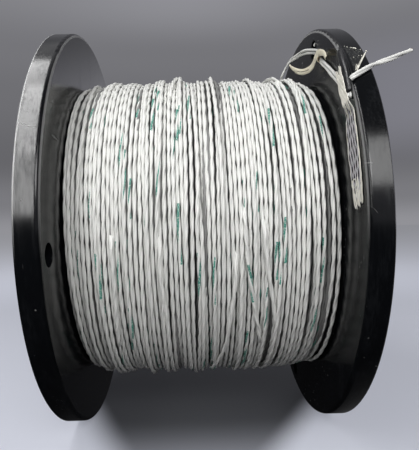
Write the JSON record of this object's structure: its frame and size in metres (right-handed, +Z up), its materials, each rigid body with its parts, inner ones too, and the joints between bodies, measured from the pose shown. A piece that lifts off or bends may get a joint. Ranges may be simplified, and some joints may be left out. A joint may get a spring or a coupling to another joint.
{
  "type": "wire spool",
  "caption": "Spool with two thick round plastic flanges on a bolted drum, wound full with twisted-pair hook-up wire, its loose end taped at one flange.",
  "frame": {"origin": "centre of the arbor bore, midway between the flanges", "axes": "+X along the spool's axis towards the flange with the taped wire end, -Y towards the viewer of the front, +Z up with the spool standing on its rims"},
  "size_m": [0.2313, 0.305, 0.305],
  "materials": {
    "flange_plastic": "glossy black moulding",
    "drum_board": "wound brown board",
    "bushing_steel": "zinc-plated steel",
    "fastener_steel": "zinc-plated steel",
    "wire_insulation": "smooth off-white insulation",
    "conductor_copper": "bare cut conductor",
    "cream_tape": "cream paper tape",
    "string_fibre": "thin white string",
    "clear_tape": "clear strapping tape with fibres",
    "black_strip": "black vinyl"
  },
  "bodies": {
    "root": {"left_flange": "flange_plastic", "right_flange": "flange_plastic", "drum_tube": "drum_board", "left_bushing": "bushing_steel", "right_bushing": "bushing_steel", "left_bushing_screws": "fastener_steel", "right_bushing_screws": "fastener_steel", "tie_bolts": "fastener_steel", "left_washers": "fastener_steel", "right_washers": "fastener_steel", "tie_nuts": "fastener_steel", "winding_core": "wire_insulation", "winding_outer": "wire_insulation", "wire_end": "wire_insulation", "free_tail": "wire_insulation", "tail_conductors": "conductor_copper", "wrap_band": "cream_tape", "tie_string": "string_fibre", "filament_tape": "clear_tape", "tape_flap": "clear_tape", "edge_strip": "black_strip"}
  },
  "joints": []
}
